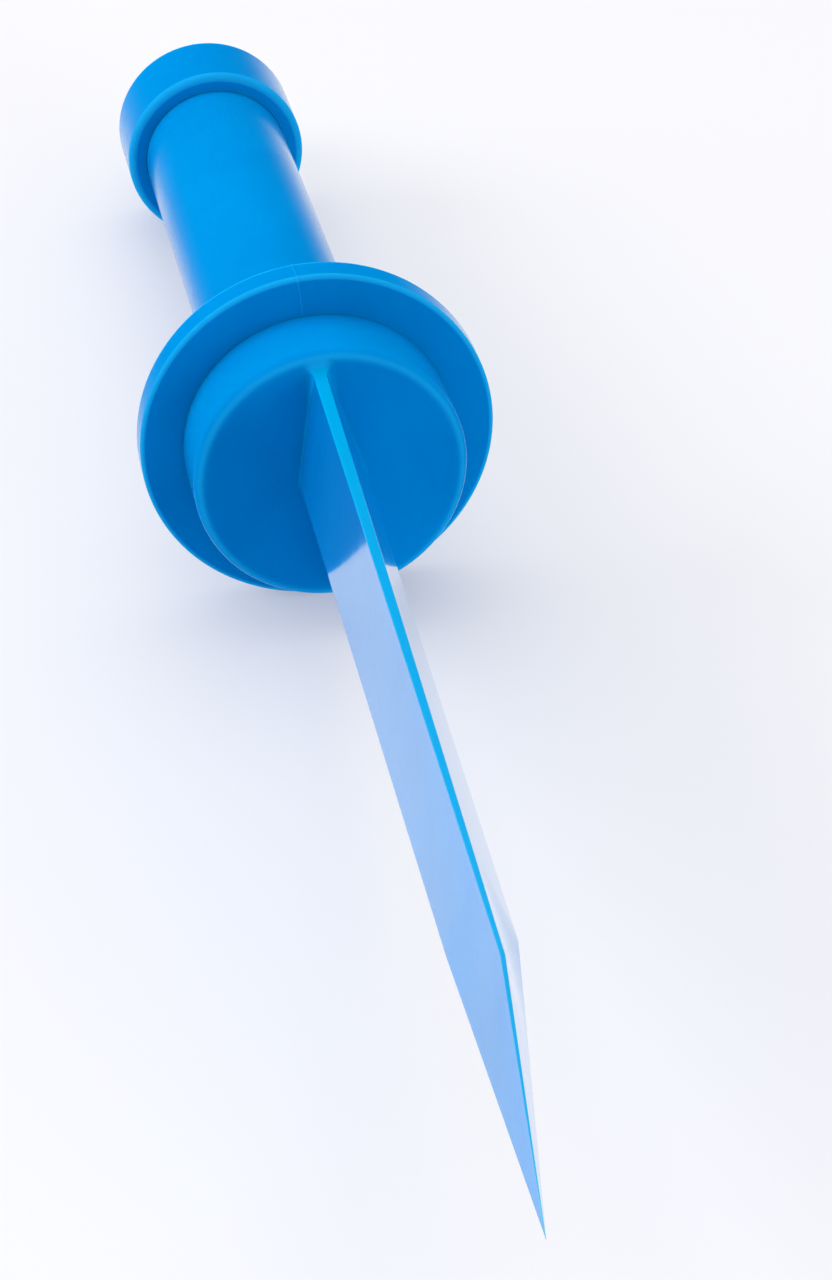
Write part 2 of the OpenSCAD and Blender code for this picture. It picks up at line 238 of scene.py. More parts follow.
def lathe(name, outline, segments=256, seam=0.0, seam_span=None, seam_highlight=0.0, closed=True):
    """Turns an outline of (radius, z) points, in mm, round the z axis.

    seam is the height of the mould's parting line, raised where seam_span says it is,
    and seam_highlight is how strongly it is painted lighter, a painted highlight.
    """
    bm = bmesh.new()
    keen = bm.verts.layers.float.new(KEEN)
    rings = []
    count = len(outline)
    for i, p in enumerate(outline):
        r, z = p[0], p[1]
        if r < ON_AXIS:
            rings.append([bm.verts.new((0, 0, z * MM))])
            continue
        ahead, behind = outline[(i + 1) % count], outline[i - 1]
        along = Vector((ahead[0] - behind[0], ahead[1] - behind[1]))
        normal = Vector((along.y, -along.x)).normalized() if along.length else Vector((1, 0))
        lifts = seam and (seam_span is None or seam_span(r, z))
        ring = []
        for angle, bump in ring_angles(r, segments, seam > 0):
            lift = seam * bump if lifts else 0.0
            rr, zz = r + normal.x * lift, z + normal.y * lift
            ring.append(bm.verts.new((rr * math.cos(angle) * MM, rr * math.sin(angle) * MM,
                                      zz * MM)))
            # a keen point, or the raised seam, is marked for the painted highlight
            ring[-1][keen] = max(keenness(behind, p, ahead), seam_highlight * bump if lifts else 0.0)
        rings.append(ring)
    pairs = list(zip(rings, rings[1:]))
    if closed:
        pairs.append((rings[-1], rings[0]))
    for low, high in pairs:
        if len(low) == 1 and len(high) == 1:
            continue
        n = max(len(low), len(high))
        for k in range(n):
            j = (k + 1) % n
            if len(low) == 1:
                bm.faces.new((low[0], high[j], high[k]))
            elif len(high) == 1:
                bm.faces.new((low[k], low[j], high[0]))
            else:
                bm.faces.new((low[k], low[j], high[j], high[k]))
    return new_object(name, bm)


def divided(points, longest):
    """The same closed outline with its long stretches cut up, for finer shading."""
    out = []
    for i, p in enumerate(points):
        q = points[(i + 1) % len(points)]
        length = (q - p).length
        parts = math.ceil(length / longest)
        shares = [k / parts for k in range(parts)]
        if length > LONG_STRETCH:
            # a point close to each end, so that what is marked on a corner stays there
            shares += [KEEN_FADE / length, 1 - KEEN_FADE / length]
        out += [p.lerp(q, share) for share in sorted(shares)]
    return out


def cut_away(obj, cutter):
    """Takes the cutter's volume out of obj and deletes the cutter."""
    modifier = obj.modifiers.new("cut", "BOOLEAN")
    modifier.operation = "DIFFERENCE"
    modifier.solver = "EXACT"
    modifier.object = cutter
    bpy.context.view_layer.update()
    graph = bpy.context.evaluated_depsgraph_get()
    mesh = bpy.data.meshes.new_from_object(obj.evaluated_get(graph))
    old = obj.data
    obj.modifiers.clear()
    obj.data = mesh
    bpy.data.meshes.remove(old)
    bpy.data.objects.remove(cutter)
    shade_smooth(mesh)


# ---- materials ------------------------------------------------------------------------


class Nodes:
    """Short way to add the shader nodes of a new material or world and join them."""

    def __init__(self, owner, output, coordinates):
        self.owner = owner
        owner.use_nodes = True
        self.tree = owner.node_tree
        self.tree.nodes.clear()
        self.output = self.add(output)
        self.place = self.add("ShaderNodeTexCoord").outputs[coordinates]

    def add(self, kind, **values):
        node = self.tree.nodes.new(kind)
        for key, value in values.items():
            target = key.replace("_", " ")
            if hasattr(value, "is_linked"):
                self.tree.links.new(value, self.socket(node, target))
            elif key[0].isupper():
                self.socket(node, target).default_value = value
            else:
                setattr(node, key, value)
        return node

    @staticmethod
    def socket(node, name):
        for s in node.inputs:
            if s.name == name and s.enabled:
                return s
        raise KeyError(name)

    def link(self, a, b):
        self.tree.links.new(a, b)

    def stretched(self, scale):
        mapping = self.add("ShaderNodeMapping", Vector=self.place)
        mapping.inputs["Scale"].default_value = scale
        return mapping.outputs["Vector"]

    def noise(self, scale, detail=3.0, roughness=0.5, where=None, distortion=0.0):
        node = self.add("ShaderNodeTexNoise", Vector=where or self.place, Scale=scale,
                        Detail=detail, Roughness=roughness, Distortion=distortion)
        return node.outputs["Fac"]

    def ramp(self, value, stops):
        node = self.add("ShaderNodeValToRGB", Fac=value)
        ramp = node.color_ramp
        while len(ramp.elements) < len(stops):
            ramp.elements.new(0.5)
        for element, (position, colour) in zip(ramp.elements, stops):
            element.position = position
            element.color = (*colour, 1) if isinstance(colour, tuple) else (colour,) * 3 + (1,)
        return node.outputs["Color"]

    def range(self, value, low, high, new_low, new_high, interpolation="LINEAR"):
        node = self.add("ShaderNodeMapRange", Value=value, interpolation_type=interpolation)
        for name, v in (("From Min", low), ("From Max", high), ("To Min", new_low),
                        ("To Max", new_high)):
            node.inputs[name].default_value = v
        return node.outputs["Result"]

    def math(self, operation, a, b=0.0):
        node = self.add("ShaderNodeMath", operation=operation)
        for i, v in enumerate((a, b)):
            if hasattr(v, "is_linked"):
                self.link(v, node.inputs[i])
            else:
                node.inputs[i].default_value = v
        return node.outputs[0]

    def along(self, vector, direction):
        """How far a vector points along a fixed direction."""
        node = self.add("ShaderNodeVectorMath", operation="DOT_PRODUCT")
        self.link(vector, node.inputs[0])
        node.inputs[1].default_value = direction
        return node.outputs["Value"]

    def mix(self, share, shader, other):
        node = self.add("ShaderNodeMixShader")
        for source, target in zip((share, shader, other), node.inputs):
            self.link(source, target)
        return node.outputs["Shader"]

    def blend(self, share, colour, other):
        node = self.add("ShaderNodeMix", data_type="RGBA")
        self.link(share, node.inputs["Factor"])
        a, b = (s for s in node.inputs if s.name in "AB" and s.type == "RGBA")
        self.link(colour, a)
        b.default_value = (*other, 1.0)
        return next(s for s in node.outputs if s.type == "RGBA")

    def bump(self, height, strength, distance, normal=None):
        node = self.add("ShaderNodeBump", Height=height, Strength=strength, Distance=distance)
        if normal is not None:
            self.link(normal, node.inputs["Normal"])
        return node.outputs["Normal"]

    def finish(self, **values):
        shader = self.add("ShaderNodeBsdfPrincipled", **values)
        self.link(shader.outputs["BSDF"], self.output.inputs["Surface"])
        return self.owner


def material_nodes(name):
    return Nodes(bpy.data.materials.new(name), "ShaderNodeOutputMaterial", "Object")


# the height in mm between which the blade is painted paler, that painted pale colour, and the
# painted highlight colour of a keen edge
PALE_START_Z = -10.0
PALE_END_Z = -70.0
PAINTED_THIN_LIGHT_BLUE = (0.44, 0.6, 0.78)
EDGE_HIGHLIGHT_BLUE = (0.02, 0.55, 0.95)


def moulded_blue(name, shade=1.0, polish=(0.1, 0.6, 4.0, 1.0), coat=0.2,
                 roughness=(0.17, 0.25), thin_light_and_reflection=0.0, edge_highlight=(0.35, EDGE_HIGHLIGHT_BLUE)):
    """Glossy, slightly translucent blue polypropylene, with faint flow marks and scuffs.

    polish is where the grazing reflection starts, where it is full, how sharply it rises
    and how strong it gets.
    thin_light_and_reflection is how far the blue is painted paler down the blade, for light
    through the thinning plastic and the pale floor's reflection on the facets.
    edge_highlight is how far a keen edge is painted a lighter colour, a painted highlight, and
    that colour.
    """
    n = material_nodes(name)
    drift = n.noise(90, detail=2.0)
    deep, pale = (0.0, 0.225 * shade, 0.61 * shade), (0.0, 0.255 * shade, 0.67 * shade)
    colour = n.ramp(drift, [(0.35, deep), (0.65, pale)])
    # painted light: the blue pales down the blade, for light through the thinning plastic and
    # for the pale floor's reflection on its facets
    if thin_light_and_reflection:
        split = n.add("ShaderNodeSeparateXYZ", Vector=n.place)
        thin = n.range(split.outputs["Z"], PALE_START_Z * MM, PALE_END_Z * MM, 0.0, thin_light_and_reflection)
        colour = n.blend(thin, colour, PAINTED_THIN_LIGHT_BLUE)
    # keen edges are painted a lighter blue, a painted highlight, and lose their gloss to
    # handling
    edge = n.add("ShaderNodeAttribute", attribute_name=KEEN).outputs["Fac"]
    colour = n.blend(n.math("MULTIPLY", edge, edge_highlight[0]), colour, edge_highlight[1])
    scuff_lines = n.noise(900, detail=4.0, where=n.stretched((1.0, 0.12, 0.35)),
                          distortion=0.4)
    scuff = n.range(scuff_lines, 0.58, 0.75, 0.0, 1.0)
    orange_peel = n.noise(700, detail=1.0)
    flow = n.noise(160, detail=2.0, where=n.stretched((1.0, 1.0, 0.25)))
    rough = n.math("ADD", n.range(flow, 0.3, 0.7, *roughness), n.math("MULTIPLY", scuff, 0.03))
    normal = n.bump(orange_peel, 0.05, 0.0002)
    normal = n.bump(scuff_lines, 0.004, 0.0001, normal)
    # the deep colour hides its own reflections, except where they are strongest, at the margins
    slant = n.add("ShaderNodeFresnel", IOR=1.5, Normal=normal).outputs["Fac"]
    start, full, rise, peak = polish
    gloss = n.math("POWER", n.range(slant, start, full, 0.0, 1.0), rise)
    gloss = n.math("MULTIPLY", n.math("SUBTRACT", 1.0, edge), gloss)
    return n.finish(
        Base_Color=colour,
        Roughness=rough,
        IOR=1.5,
        Normal=normal,
        Subsurface_Weight=0.3,
        Subsurface_Radius=(0.1, 0.6, 1.0),
        Subsurface_Scale=0.0015,
        Specular_IOR_Level=n.math("MULTIPLY", gloss, peak),
        Coat_Weight=n.math("MULTIPLY", gloss, coat),
        Coat_Roughness=0.5 * roughness[1],
        Specular_Tint=(0.0, 0.5, 1.0, 1.0),
    )


def soft_rubber(name, colour, roughness):
    n = material_nodes(name)
    grain = n.noise(2500, detail=3.0)
    bloom = n.noise(300, detail=2.0)
    dark = tuple(c * 0.8 for c in colour)
    light = tuple(c * 1.25 + 0.004 for c in colour)
    return n.finish(
        Base_Color=n.ramp(bloom, [(0.35, dark), (0.7, light)]),
        Roughness=n.range(grain, 0.3, 0.7, roughness - 0.08, roughness + 0.08),
        Normal=n.bump(grain, 0.15, 0.00005),
    )


def plain_plastic(name, colour, roughness, glow_and_highlight=0.1):
    n = material_nodes(name)
    drift = n.noise(260, detail=2.0)
    grain = n.noise(1800, detail=2.0)
    dark = tuple(c * 0.9 for c in colour)
    return n.finish(
        Base_Color=n.ramp(drift, [(0.35, dark), (0.65, colour)]),
        Roughness=n.range(grain, 0.3, 0.7, roughness - 0.06, roughness + 0.06),
        Normal=n.bump(grain, 0.06, 0.0001),
        Subsurface_Weight=glow_and_highlight,
        Subsurface_Radius=(0.5, 0.5, 0.5),
        Subsurface_Scale=0.0008,
    )


def rolled_steel(name):
    n = material_nodes(name)
    lines = n.noise(3500, detail=3.0, where=n.stretched((1.0, 0.08, 1.0)))
    stain = n.noise(400, detail=2.0)
    return n.finish(
        Base_Color=n.ramp(stain, [(0.3, (0.42, 0.43, 0.44)), (0.7, (0.62, 0.63, 0.64))]),
        Metallic=1.0,
        Roughness=n.range(lines, 0.3, 0.7, 0.24, 0.4),
        Normal=n.bump(lines, 0.12, 0.00003),
    )


def woven_screen(name):
    """Fine stainless mesh: two sets of crossed wires, seen as a weave on the thin sleeve."""
    n = material_nodes(name)
    split = n.add("ShaderNodeSeparateXYZ", Vector=n.place)
    turn = n.math("ARCTAN2", split.outputs["Y"], split.outputs["X"])
    upright = n.math("SINE", n.math("MULTIPLY", turn, 90.0))
    level = n.math("SINE", n.math("MULTIPLY", split.outputs["Z"], 31000.0))
    weave = n.math("MULTIPLY", upright, level)
    return n.finish(
        Base_Color=n.ramp(weave, [(0.0, (0.25, 0.26, 0.27)), (0.6, (0.6, 0.61, 0.62))]),
        Metallic=1.0,
        Roughness=n.range(weave, -1.0, 1.0, 0.5, 0.28),
        Normal=n.bump(weave, 0.5, 0.00005),
    )


BLUE = moulded_blue("moulded_blue")
CAP_BLUE = moulded_blue("moulded_blue_cap", 1.03)
# the blade's blue is a copy of the drum's, which it is moulded in one with, painted 1.1 times
# brighter: painted light
BLADE_BLUE = moulded_blue("moulded_blue_blade", 1.1, polish=(0.19, 0.32, 1.0, 2.1), coat=0.82,
                          roughness=(0.06, 0.1), thin_light_and_reflection=0.15,
                          edge_highlight=(1.0, (0.0, 0.35, 0.66)))


def paint(obj, material):
    obj.data.materials.clear()
    obj.data.materials.append(material)


# ---- stem body ------------------------------------------------------------------------

NEAR = 0.05  # what is this close to a face counts as on it


def on_flange(r, z):
    """Where the mould seam stands: on the flange, but not in the recess for the drum."""
    in_recess = r < RECESS_R + NEAR and z < RECESS_DEPTH + NEAR
    return r > STEM_R and z < FLANGE_T + 2 * NEAR and not in_recess


stem_outline = rounded([
    (BORE_R, RECESS_DEPTH, 0.1),
    (RECESS_R, RECESS_DEPTH, 0.0),
    (RECESS_R, 0.0, 0.0),
    (FLANGE_R, 0.0, FLANGE_FRONT_EDGE),
    (FLANGE_R, FLANGE_T, FLANGE_EDGE),
    (STEM_R, FLANGE_T, STEM_FILLET),
    (STEM_R, NECK_Z, 0.15),
    (NECK_R, NECK_Z, 0.1),
    (NECK_R, NECK_TOP_Z, 0.25),
    (UPPER_BORE_R, NECK_TOP_Z, 0.2),
    (UPPER_BORE_R, LEDGE_TOP_Z, 0.0),
    (LEDGE_BORE_R, LEDGE_TOP_Z, 0.05),
    (LEDGE_BORE_R, LEDGE_Z, 0.05),
    (BORE_R, LEDGE_Z, 0.0),
])
# the flange's seam stands proud and is also painted lighter, a painted highlight
stem = lathe("stem_body_shell", divided(stem_outline, longest=1.0), seam=FLANGE_SEAM,
             seam_span=on_flange, seam_highlight=0.3)
OUTLET_SEGMENTS = 64
FLARE_START = 1.2
FLARE = 0.5
CUTTER_ENDS = (-1.0, 2.5)
cutter_outline = [
    (0, CUTTER_ENDS[0]),
    (OUTLET_R, CUTTER_ENDS[0]),
    (OUTLET_R, FLARE_START),
    (OUTLET_R + FLARE, FLARE_START + FLARE),
    (OUTLET_R + FLARE, CUTTER_ENDS[1]),
    (0, CUTTER_ENDS[1]),
]
outlet = lathe("outlet_cutter", cutter_outline, segments=OUTLET_SEGMENTS, closed=False)
outlet.data.transform(
    Matrix.Translation(Vector((-BORE_R * MM, 0, OUTLET_Z * MM)))
    @ Matrix.Rotation(-math.pi / 2, 4, "Y")
    # a flat, not a corner, of the cutter meets the shell's own line of points
    @ Matrix.Rotation(math.pi / OUTLET_SEGMENTS, 4, "Z")
)
cut_away(stem, outlet)
paint(stem, BLUE)
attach(stem, "housing")
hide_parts("stem_body")


# ---- drum, blade and plug -------------------------------------------------------------

CORNER_PARTS = 6
SIDE_PARTS = 30
EDGE_PARTS = 4
CORNER_STEP = 0.2
DEPTH_STEP = 1.5
EDGE_CORNER_R = 0.1
RIDGE_CORNER_R = 0.35
ROOT_FILLET = 0.18
END_FILLET = 0.85
END_FILLET_REACH = 2.4
FILLET_STEPS = 10
RIM_STEPS = 12
FILLET_ROOM = 2.2 * END_FILLET
TIP_CONE = 0.25
BLADE_SKIN_Z = DRUM_FACE_Z - 0.25
# the painted highlight line on the drum's rim, a lighter blue: its strength, its place round the
# rim and its width
RIM_HIGHLIGHT = 0.8
RIM_HIGHLIGHT_ANGLE = math.radians(58)
RIM_HIGHLIGHT_SPREAD = math.radians(17)
FACE_SHARES = (0.04, 0.12, 0.28, 0.5, 0.72, 0.88, 0.96)
PLUG_TOP_MARGIN = 0.3
SAME_POINT = 0.0002


def blade_size(depth):
    """Half height, half edge width, half ridge width and sideways shift at a depth."""
    if depth <= EDGE_TURN_DEPTH:
        t = (depth - ROOT_DEPTH) / (EDGE_TURN_DEPTH - ROOT_DEPTH)
        height = lerp(ROOT_HALF_HEIGHT, TURN_HALF_HEIGHT, t)
        edge = lerp(ROOT_EDGE_HALF, TURN_EDGE_HALF, t)
        edge_shift = 0.0
    else:
        t = (depth - EDGE_TURN_DEPTH) / (TIP_DEPTH - EDGE_TURN_DEPTH)
        height, edge = TURN_HALF_HEIGHT * (1 - t), TURN_EDGE_HALF * (1 - t)
        edge_shift = -TIP_OFFSET * t
    if depth <= RIDGE_TURN_DEPTH:
        t = (depth - ROOT_DEPTH) / (RIDGE_TURN_DEPTH - ROOT_DEPTH)
        ridge, ridge_shift = lerp(ROOT_HALF_WIDTH, TURN_HALF_WIDTH, t), 0.0
    else:
        t = (depth - RIDGE_TURN_DEPTH) / (TIP_DEPTH - RIDGE_TURN_DEPTH)
        ridge, ridge_shift = TURN_HALF_WIDTH * (1 - t), -TIP_OFFSET * t
    lean = -BLADE_LEAN * (depth + DRUM_FACE_Z)
    return height, edge, ridge, edge_shift + lean, ridge_shift + lean


def blade_outline(depth, offset=None):
    """Points round the blade's section with rounded corners, the same number at every depth.

    offset gives how far out each point is pushed.
    """
    height, edge, ridge, edge_y, ridge_y = blade_size(depth)
    corners = [
        (Vector((height, edge_y + edge)), EDGE_CORNER_R),
        (Vector((0, ridge_y + ridge)), RIDGE_CORNER_R),
        (Vector((-height, edge_y + edge)), EDGE_CORNER_R),
        (Vector((-height, edge_y - edge)), EDGE_CORNER_R),
        (Vector((0, ridge_y - ridge)), RIDGE_CORNER_R),
        (Vector((height, edge_y - edge)), EDGE_CORNER_R),
    ]
    shrink = min(1.0, height / 2.0)
    arcs = []
    for i, (here, radius) in enumerate(corners):
        before, after = corners[i - 1][0], corners[(i + 1) % 6][0]
        back, on = (before - here).normalized(), (after - here).normalized()
        half = back.angle(on) / 2
        radius = min(radius * shrink, edge * 0.8 * math.tan(half))
        middle = here + (back + on).normalized() * (radius / math.sin(half))
        normal_in = Vector((-back.y, back.x))
        normal_out = Vector((on.y, -on.x))
        start = math.atan2(normal_in.y, normal_in.x)
        sweep = math.atan2(normal_in.x * normal_out.y - normal_in.y * normal_out.x,
                           normal_in.dot(normal_out))
        arc = []
        for k in range(CORNER_PARTS + 1):
            a = start + sweep * k / CORNER_PARTS
            outwards = Vector((math.cos(a), math.sin(a)))
            arc.append((middle + outwards * radius, outwards))
        arcs.append(arc)
    ring = []
    for i, arc in enumerate(arcs):
        ring += arc
        a, outwards = arc[-1]
        b = arcs[(i + 1) % 6][0][0]
        flat_edge = i in (2, 5)
        parts = EDGE_PARTS if flat_edge else SIDE_PARTS
        steps = list(range(1, parts))
        if not flat_edge:
            steps = [CORNER_STEP] + steps + [parts - CORNER_STEP]
        ring += [(a.lerp(b, k / parts), outwards) for k in steps]
    if offset is None:
        return [p for p, _ in ring]
    return [p + outwards * offset(p) for p, outwards in ring]


def fillet_at(p):
    """Width of the blade's root fillet: small along the facets, wide where they meet the rim."""
    near_end = min(1.0, max(0.0, 1 - (ROOT_HALF_HEIGHT - abs(p.x)) / END_FILLET_REACH))
    return lerp(ROOT_FILLET, END_FILLET, near_end * near_end * (3 - 2 * near_end))


def rim_point(a):
    """Radius and z on the drum's rounded rim: a is 0 at its side and pi/2 at its face."""
    return (DRUM_R - DRUM_EDGE * (1 - math.cos(a)),
            DRUM_FACE_Z + DRUM_EDGE * (1 - math.sin(a)))


def foot_highlight(end):
    """Painted highlight of the root fillet where its foot stands at this angle of the rim."""
    return RIM_HIGHLIGHT * min(1.0, (math.pi / 2 - end) / (math.pi / 2 - RIM_HIGHLIGHT_ANGLE))


# The next five functions give the stake's rings from the plug's top down, as lists of
# (point in mm, strength of the painted highlight). A spoke is the direction from the axis that a
# ring's point stands in.


def plug_rings(spokes):
    """The plug's top and side and the drum's back and side, as plain circles."""
    outline = rounded([
        (PLUG_R - PLUG_TOP_MARGIN, PLUG_TOP_Z, 0),
        (PLUG_R, PLUG_TOP_Z, 0.25),
        (PLUG_R, PLUG_GROOVE[1], 0.05),
        (PLUG_GROOVE_R, PLUG_GROOVE[1], 0.08),
        (PLUG_GROOVE_R, PLUG_GROOVE[0], 0.08),
        (PLUG_R, PLUG_GROOVE[0], 0.05),
        (PLUG_R, RECESS_DEPTH, 0.05),
        (DRUM_R, RECESS_DEPTH, 0.1),
        (DRUM_R, DRUM_FACE_Z + DRUM_EDGE, 0),
    ])
    for p in divided(outline, longest=0.8):
        yield [(Vector((u.x * p.x, u.y * p.x, p.y)), 0.0) for u in spokes]
        if p == outline[-1]:
            break


def rim_rings(spokes, rim_ends):
    """The drum's rounded rim, cut short where the fillet's foot stands on it, with a painted
    highlight line along it.
    """
    for k in range(1, RIM_STEPS + 1):
        ring = []
        for u, end in zip(spokes, rim_ends):
            r, z = rim_point(end * k / RIM_STEPS)
            # a narrow painted highlight line, a lighter blue, runs round the rim at one angle of
            # its rounding
            off_line = (end * k / RIM_STEPS - RIM_HIGHLIGHT_ANGLE) / RIM_HIGHLIGHT_SPREAD
            glow_and_highlight = RIM_HIGHLIGHT * math.exp(-off_line * off_line)
            ring.append((Vector((u.x * r, u.y * r, z)), glow_and_highlight))
        yield ring


def face_rings(spokes, foot, rim_ends):
    """The drum's flat face, from the rim in to the fillet's foot."""
    for t in FACE_SHARES:
        ring = []
        for u, f, end in zip(spokes, foot, rim_ends):
            flat = u * lerp(max(FACE_R, f.length), f.length, t)
            # beside the blade's ends the rim's painted highlight carries on across the face
            ring.append((Vector((*flat, rim_point(end)[1])), foot_highlight(end)))
        yield ring


def fillet_rings(base, foot, rim_ends):
    """The root fillet, from its foot on the face or the rim up the blade's wall."""
    for k in range(FILLET_STEPS + 1):
        t = k / FILLET_STEPS
        ring = []
        for b, f, end in zip(base, foot, rim_ends):
            width = (f - b).length
            z = rim_point(end)[1]
            knee = z - width * math.cos(end) / math.sin(end)
            point = (Vector((*f, z)) * (1 - t) ** 2
                     + Vector((*b, knee)) * 2 * t * (1 - t)
                     + Vector((*b, knee - width)) * t ** 2)
            # the fillet carries the rim's painted highlight down into the blade's top edge
            ring.append((point, foot_highlight(end)))
        yield ring


def blade_rings():
    """The blade, from its root to just short of its point."""
    depths = [-DRUM_FACE_Z + FILLET_ROOM]
    for turn in (RIDGE_TURN_DEPTH, EDGE_TURN_DEPTH, TIP_DEPTH - TIP_CONE):
        start, span = depths[-1], turn - depths[-1]
        parts = max(3, math.ceil(span / DEPTH_STEP))
        depths += [start + span * k / parts for k in range(1, parts + 1)]
    for depth in depths:
        outline = blade_outline(depth)
        flat_edge = max(p.x for p in outline) - KEEN_FADE
        # the blade's flat top edge is painted with the same highlight as the rim
        yield [(Vector((p.x, p.y, -depth)), RIM_HIGHLIGHT if abs(p.x) > flat_edge else 0.0)
               for p in outline]


def build_stake():
    """Plug, drum and blade as one skin of rings, each with as many points as the blade's."""
    base = blade_outline(-DRUM_FACE_Z)
    foot = blade_outline(-DRUM_FACE_Z, fillet_at)
    spokes = [p.normalized() for p in foot]
    # where on the rim the fillet's foot stands, as rim_point's angle
    rim_ends = [math.acos(min(1.0, max(0.0, (p.length - FACE_R) / DRUM_EDGE))) for p in foot]
    tip_y = -TIP_OFFSET - BLADE_LEAN * (TIP_DEPTH + DRUM_FACE_Z)

    bm = bmesh.new()
    keen = bm.verts.layers.float.new(KEEN)
    top = bm.verts.new((0, 0, PLUG_TOP_Z * MM))
    rings = []
    for points in (*plug_rings(spokes), *rim_rings(spokes, rim_ends),
                   *face_rings(spokes, foot, rim_ends), *fillet_rings(base, foot, rim_ends),
                   *blade_rings()):
        ring = []
        for point, glow_and_highlight in points:
            ring.append(bm.verts.new(point * MM))
            # the point's painted highlight strength goes into the mask
            ring[-1][keen] = glow_and_highlight
        rings.append(ring)
    tip = bm.verts.new((0, tip_y * MM, -TIP_DEPTH * MM))

    count = len(spokes)
    neighbours = [(k, (k + 1) % count) for k in range(count)]
    for k, j in neighbours:
        bm.faces.new((top, rings[0][k], rings[0][j]))
        bm.faces.new((tip, rings[-1][k], rings[-1][j]))
    for low, high in zip(rings, rings[1:]):
        for k, j in neighbours:
            bm.faces.new((low[k], low[j], high[j], high[k]))
    bmesh.ops.remove_doubles(bm, verts=bm.verts, dist=SAME_POINT * MM)
    return new_object("drum_and_blade", bm)


stake = build_stake()
paint(stake, BLUE)
stake.data.materials.append(BLADE_BLUE)
for polygon in stake.data.polygons:
    polygon.material_index = int(polygon.center.z < BLADE_SKIN_Z * MM)
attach(stake, "housing")
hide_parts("stake")


# ---- cap ------------------------------------------------------------------------------

cap_outline = rounded([
    (CAP_SKIRT_R, CAP_RIM_Z, 0.05),
    (CAP_R, CAP_RIM_Z, CAP_EDGE),
    (CAP_R, CAP_TOP_Z, CAP_EDGE),
    (CAP_HOLE_R, CAP_TOP_Z, 0.12),
    (CAP_HOLE_R, CAP_ROOF_Z, 0.08),
    (CAP_BORE_R, CAP_ROOF_Z, 0.15),
    (CAP_BORE_R, CAP_STEP_Z, 0.12),
    (CAP_SKIRT_R, CAP_STEP_Z, 0.1),
])


def cap_outside(r, z):
    return r > CAP_R - 0.4


cap = lathe("adjusting_cap", divided(cap_outline, longest=0.8), seam=CAP_SEAM,
            seam_span=cap_outside)
paint(cap, CAP_BLUE)
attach(cap, "cap")
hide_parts("adjust_cap")


# ---- barbed inlet ---------------------------------------------------------------------

barb_corners = [
    (NEEDLE_SOCKET_R, PISTON_LOW_Z, 0.05),
    (PISTON_R, PISTON_LOW_Z, 0.2),
    (PISTON_R, SEAL_GROOVE[0], 0.05),
    (SEAL_GROOVE_R, SEAL_GROOVE[0], 0.08),
    (SEAL_GROOVE_R, SEAL_GROOVE[1], 0.08),
    (PISTON_R, SEAL_GROOVE[1], 0.05),
    (PISTON_R, PISTON_TOP_Z, 0.12),
    (JOURNAL_R, PISTON_TOP_Z, 0.04),
    (JOURNAL_R, CLIP_GROOVE[0], 0.04),
    (CLIP_GROOVE_R, CLIP_GROOVE[0], 0.03),
    (CLIP_GROOVE_R, CLIP_GROOVE[1], 0.03),
    (JOURNAL_R, CLIP_GROOVE[1], 0.06),
    (BARB_ROOT_R, CLIP_GROOVE[1] + 0.6, 0.15),
]
for start in BARB_STARTS:
    barb_corners += [
        (BARB_ROOT_R, start, 0.08),
        (BARB_R, start, 0.04),
        (BARB_R, start + BARB_LAND, 0.1),
        (BARB_ROOT_R, start + BARB_LAND + BARB_CONE, 0.15),
    ]
barb_corners[-1] = (BARB_ROOT_R, BARB_TOP_Z, 0.2)
barb_corners += [
    (WATER_WAY_R, BARB_TOP_Z, 0.12),
    (WATER_WAY_R, PISTON_LOW_Z + NEEDLE_SOCKET_DEPTH, 0.05),
    (NEEDLE_SOCKET_R, PISTON_LOW_Z + NEEDLE_SOCKET_DEPTH, 0.05),
]
inlet = lathe("barbed_inlet", divided(rounded(barb_corners), longest=0.6), segments=160)
paint(inlet, BLUE)
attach(inlet, "inlet")
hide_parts("inlet_barb")


# ---- carried-over CAD nodes -----------------------------------------------------------

SEAL_BLACK = soft_rubber("seal_rubber", (0.02, 0.02, 0.022), 0.45)
FINISHES = {
    "plug_seal": SEAL_BLACK,
    "barb_seal": SEAL_BLACK,
    "filter_gasket": SEAL_BLACK,
    "needle_seat": soft_rubber("seat_rubber", (0.05, 0.065, 0.065), 0.5),
    "diaphragm": soft_rubber("diaphragm_silicone", (0.62, 0.12, 0.03), 0.35),
    "swivel_clip": rolled_steel("clip_steel"),
    "filter_screen": woven_screen("screen_steel"),
    "thrust_washer": plain_plastic("washer_plastic", (0.78, 0.76, 0.68), 0.4),
    "filter_cage": plain_plastic("cage_plastic", (0.03, 0.033, 0.038), 0.4, 0.0),
    "labyrinth_core": plain_plastic("insert_plastic", (0.7, 0.73, 0.76), 0.35, 0.3),
}
FINISHES["metering_needle"] = FINISHES["seat_ring"] = FINISHES["thrust_washer"]
FINISHES["regulator_seat"] = FINISHES["labyrinth_core"]
for node, material in FINISHES.items():
    paint(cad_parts[node], material)


# ---- floor, light and camera ----------------------------------------------------------

# The part lies on its side: on the far edge of the flange and on the rim of the cap.
tilt = math.atan2(FLANGE_R - CAP_R, CAP_TOP_Z - FLANGE_T)
FLOOR_TURN = math.radians(4.79)
side = Vector((math.cos(FLOOR_TURN), math.sin(FLOOR_TURN), 0))
up = side * math.cos(tilt) - Vector((0, 0, 1)) * math.sin(tilt)
floor_level = -(FLANGE_R * math.cos(tilt) + FLANGE_T * math.sin(tilt)) * MM

